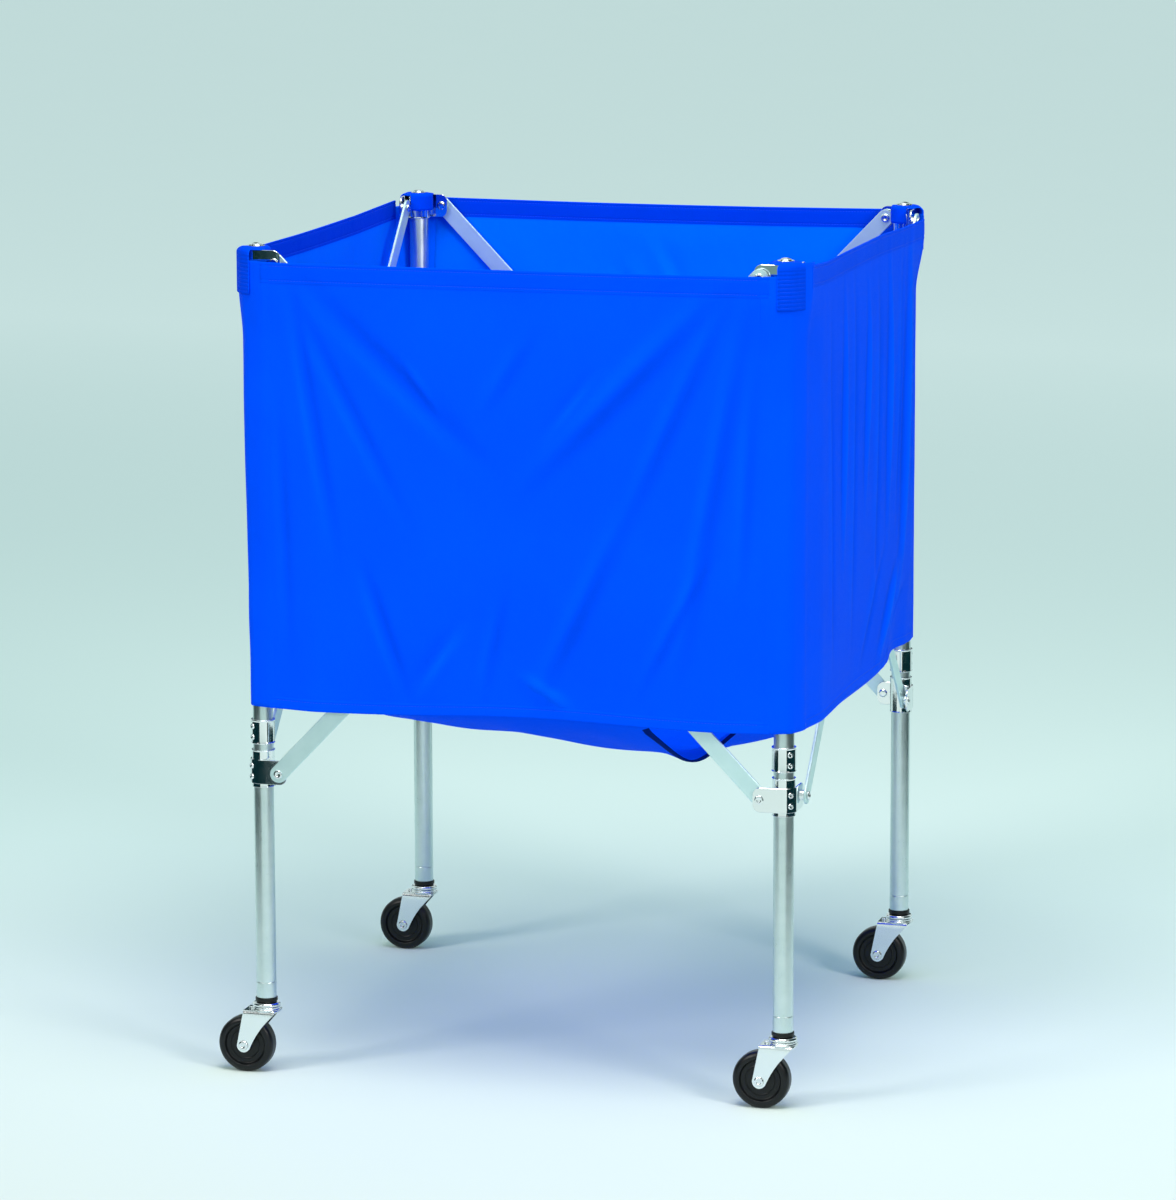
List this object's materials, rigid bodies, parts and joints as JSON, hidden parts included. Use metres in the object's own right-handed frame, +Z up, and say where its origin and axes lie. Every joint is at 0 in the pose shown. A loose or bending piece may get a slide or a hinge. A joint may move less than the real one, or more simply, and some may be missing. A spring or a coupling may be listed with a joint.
{
  "type": "ball cart",
  "caption": "Folding cart with an open square fabric bag hung on tube legs, crossed flat bars on every side and swivel castors.",
  "frame": {"origin": "on the floor, at the bottom centre of the bounding box", "axes": "+X to the right, +Y to the back, +Z up"},
  "size_m": [0.6708, 0.6428, 0.9274],
  "materials": {
    "tube_aluminium": "satin anodised",
    "bar_aluminium": "satin, brushed along its length",
    "bright_steel": "bright plated",
    "plug_plastic": "moulded black",
    "wheel_plastic": "moulded black",
    "bag_fabric": "woven polyester",
    "bag_bottom_fabric": "woven polyester"
  },
  "bodies": {
    "leg_front_left": {"leg_tube_front_left": "tube_aluminium", "top_bracket_front_left": "bright_steel", "stop_collar_front_left": "bright_steel", "post_screw_front_left": "bright_steel", "castor_stem_front_left": "plug_plastic", "bag_corner_front_left": "bag_fabric", "bag_wall_front": "bag_fabric", "bag_wall_left": "bag_fabric"},
    "leg_front_right": {"leg_tube_front_right": "tube_aluminium", "top_bracket_front_right": "bright_steel", "stop_collar_front_right": "bright_steel", "post_screw_front_right": "bright_steel", "castor_stem_front_right": "plug_plastic", "bag_corner_front_right": "bag_fabric", "bag_wall_right": "bag_fabric"},
    "leg_back_left": {"leg_tube_back_left": "tube_aluminium", "top_bracket_back_left": "bright_steel", "stop_collar_back_left": "bright_steel", "post_screw_back_left": "bright_steel", "castor_stem_back_left": "plug_plastic", "bag_corner_back_left": "bag_fabric", "bag_wall_back": "bag_fabric"},
    "leg_back_right": {"leg_tube_back_right": "tube_aluminium", "top_bracket_back_right": "bright_steel", "stop_collar_back_right": "bright_steel", "post_screw_back_right": "bright_steel", "castor_stem_back_right": "plug_plastic", "bag_corner_back_right": "bag_fabric"},
    "bar_inner_front": {"bar_inner_front": "bar_aluminium"},
    "bar_outer_front": {"bar_outer_front": "bar_aluminium", "cross_pivot_front": "bright_steel"},
    "bar_inner_left": {"bar_inner_left": "bar_aluminium"},
    "bar_outer_left": {"bar_outer_left": "bar_aluminium", "cross_pivot_left": "bright_steel"},
    "bar_inner_right": {"bar_inner_right": "bar_aluminium"},
    "bar_outer_right": {"bar_outer_right": "bar_aluminium", "cross_pivot_right": "bright_steel"},
    "bar_inner_back": {"bar_inner_back": "bar_aluminium"},
    "bar_outer_back": {"bar_outer_back": "bar_aluminium", "cross_pivot_back": "bright_steel"},
    "slider_front_left": {"slider_front_left": "bright_steel"},
    "slider_front_right": {"slider_front_right": "bright_steel"},
    "slider_back_right": {"slider_back_right": "bright_steel"},
    "slider_back_left": {"slider_back_left": "bright_steel"},
    "bag_bottom_front": {"bag_bottom_front": "bag_bottom_fabric"},
    "bag_bottom_back": {"bag_bottom_back": "bag_bottom_fabric"},
    "castor_front_left": {"castor_fork_front_left": "bright_steel", "castor_axle_front_left": "bright_steel"},
    "wheel_front_left": {"castor_wheel_front_left": "wheel_plastic"},
    "castor_front_right": {"castor_fork_front_right": "bright_steel", "castor_axle_front_right": "bright_steel"},
    "wheel_front_right": {"castor_wheel_front_right": "wheel_plastic"},
    "castor_back_right": {"castor_fork_back_right": "bright_steel", "castor_axle_back_right": "bright_steel"},
    "wheel_back_right": {"castor_wheel_back_right": "wheel_plastic"},
    "castor_back_left": {"castor_fork_back_left": "bright_steel", "castor_axle_back_left": "bright_steel"},
    "wheel_back_left": {"castor_wheel_back_left": "wheel_plastic"}
  },
  "joints": [
    {"name": "fold", "type": "hinge", "parent": "leg_front_left", "child": "bar_inner_front", "pos_m": [-0.25696, -0.3085, 0.90728], "axis": [0, 1, 0], "range_deg": [0, 35], "deforming": ["bag_wall_front", "bag_wall_back", "bag_wall_left", "bag_wall_right", "bag_bottom_front", "bag_bottom_back"]},
    {"name": "cross_front", "type": "hinge", "parent": "bar_inner_front", "child": "bar_outer_front", "pos_m": [0.01404, -0.3085, 0.62528], "axis": [0, 1, 0], "range_deg": [-70, 0]},
    {"name": "top_front_right", "type": "hinge", "parent": "bar_outer_front", "child": "leg_front_right", "pos_m": [0.28504, -0.3085, 0.90728], "axis": [0, 1, 0], "range_deg": [0, 35]},
    {"name": "slide_front_right", "type": "hinge", "parent": "bar_inner_front", "child": "slider_front_right", "pos_m": [0.28504, -0.3085, 0.34328], "axis": [0, 1, 0], "range_deg": [-35, 0]},
    {"name": "slide_front_left", "type": "hinge", "parent": "bar_outer_front", "child": "slider_front_left", "pos_m": [-0.25696, -0.3085, 0.34328], "axis": [0, 1, 0], "range_deg": [0, 35]},
    {"name": "top_left_front", "type": "hinge", "parent": "leg_front_left", "child": "bar_outer_left", "pos_m": [-0.29446, -0.271, 0.90728], "axis": [1, 0, 0], "range_deg": [-35, 0]},
    {"name": "cross_left", "type": "hinge", "parent": "bar_outer_left", "child": "bar_inner_left", "pos_m": [-0.29446, 0, 0.62528], "axis": [1, 0, 0], "range_deg": [0, 70]},
    {"name": "top_back_left", "type": "hinge", "parent": "bar_inner_left", "child": "leg_back_left", "pos_m": [-0.29446, 0.271, 0.90728], "axis": [1, 0, 0], "range_deg": [-35, 0]},
    {"name": "slide_back_left", "type": "hinge", "parent": "bar_outer_left", "child": "slider_back_left", "pos_m": [-0.29446, 0.271, 0.34328], "axis": [1, 0, 0], "range_deg": [0, 35]},
    {"name": "top_right_front", "type": "hinge", "parent": "leg_front_right", "child": "bar_inner_right", "pos_m": [0.32254, -0.271, 0.90728], "axis": [-1, 0, 0], "range_deg": [0, 35]},
    {"name": "cross_right", "type": "hinge", "parent": "bar_inner_right", "child": "bar_outer_right", "pos_m": [0.32254, 0, 0.62528], "axis": [-1, 0, 0], "range_deg": [-70, 0]},
    {"name": "top_back_right", "type": "hinge", "parent": "bar_outer_right", "child": "leg_back_right", "pos_m": [0.32254, 0.271, 0.90728], "axis": [-1, 0, 0], "range_deg": [0, 35]},
    {"name": "slide_back_right", "type": "hinge", "parent": "bar_inner_right", "child": "slider_back_right", "pos_m": [0.32254, 0.271, 0.34328], "axis": [-1, 0, 0], "range_deg": [-35, 0]},
    {"name": "top_back_outer", "type": "hinge", "parent": "leg_back_left", "child": "bar_outer_back", "pos_m": [-0.25696, 0.3085, 0.90728], "axis": [0, -1, 0], "range_deg": [-35, 0]},
    {"name": "top_back_inner", "type": "hinge", "parent": "leg_back_right", "child": "bar_inner_back", "pos_m": [0.28504, 0.3085, 0.90728], "axis": [0, -1, 0], "range_deg": [0, 35]},
    {"name": "bag_bottom_front_hem", "type": "hinge", "parent": "leg_front_left", "child": "bag_bottom_front", "pos_m": [0.01404, -0.3184, 0.41678], "axis": [1, 0, 0], "range_deg": [-66.5, 0]},
    {"name": "bag_bottom_back_hem", "type": "hinge", "parent": "leg_back_left", "child": "bag_bottom_back", "pos_m": [0.01404, 0.3184, 0.41678], "axis": [1, 0, 0], "range_deg": [0, 66.5]},
    {"name": "swivel_front_left", "type": "hinge", "parent": "leg_front_left", "child": "castor_front_left", "pos_m": [-0.28096, -0.295, 0.07178], "axis": [0, 0, 1], "continuous": true},
    {"name": "roll_front_left", "type": "hinge", "parent": "castor_front_left", "child": "wheel_front_left", "pos_m": [-0.30396, -0.295, 0.03148], "axis": [0, 1, 0], "continuous": true},
    {"name": "swivel_front_right", "type": "hinge", "parent": "leg_front_right", "child": "castor_front_right", "pos_m": [0.30904, -0.295, 0.07178], "axis": [0, 0, 1], "continuous": true},
    {"name": "roll_front_right", "type": "hinge", "parent": "castor_front_right", "child": "wheel_front_right", "pos_m": [0.28604, -0.295, 0.03148], "axis": [0, 1, 0], "continuous": true},
    {"name": "swivel_back_right", "type": "hinge", "parent": "leg_back_right", "child": "castor_back_right", "pos_m": [0.30904, 0.295, 0.07178], "axis": [0, 0, 1], "continuous": true},
    {"name": "roll_back_right", "type": "hinge", "parent": "castor_back_right", "child": "wheel_back_right", "pos_m": [0.28604, 0.295, 0.03148], "axis": [0, 1, 0], "continuous": true},
    {"name": "swivel_back_left", "type": "hinge", "parent": "leg_back_left", "child": "castor_back_left", "pos_m": [-0.28096, 0.295, 0.07178], "axis": [0, 0, 1], "continuous": true},
    {"name": "roll_back_left", "type": "hinge", "parent": "castor_back_left", "child": "wheel_back_left", "pos_m": [-0.30396, 0.295, 0.03148], "axis": [0, 1, 0], "continuous": true}
  ],
  "couplings": [
    {"joint": "cross_front", "follows": "fold", "ratio": -2},
    {"joint": "top_front_right", "follows": "fold", "ratio": 1},
    {"joint": "slide_front_right", "follows": "fold", "ratio": -1},
    {"joint": "slide_front_left", "follows": "fold", "ratio": 1},
    {"joint": "top_left_front", "follows": "fold", "ratio": -1},
    {"joint": "cross_left", "follows": "fold", "ratio": 2},
    {"joint": "top_back_left", "follows": "fold", "ratio": -1},
    {"joint": "slide_back_left", "follows": "fold", "ratio": 1},
    {"joint": "top_right_front", "follows": "fold", "ratio": 1},
    {"joint": "cross_right", "follows": "fold", "ratio": -2},
    {"joint": "top_back_right", "follows": "fold", "ratio": 1},
    {"joint": "slide_back_right", "follows": "fold", "ratio": -1},
    {"joint": "top_back_outer", "follows": "fold", "ratio": -1},
    {"joint": "top_back_inner", "follows": "fold", "ratio": 1},
    {"joint": "bag_bottom_front_hem", "follows": "fold", "ratio": -1.9},
    {"joint": "bag_bottom_back_hem", "follows": "fold", "ratio": 1.9}
  ]
}
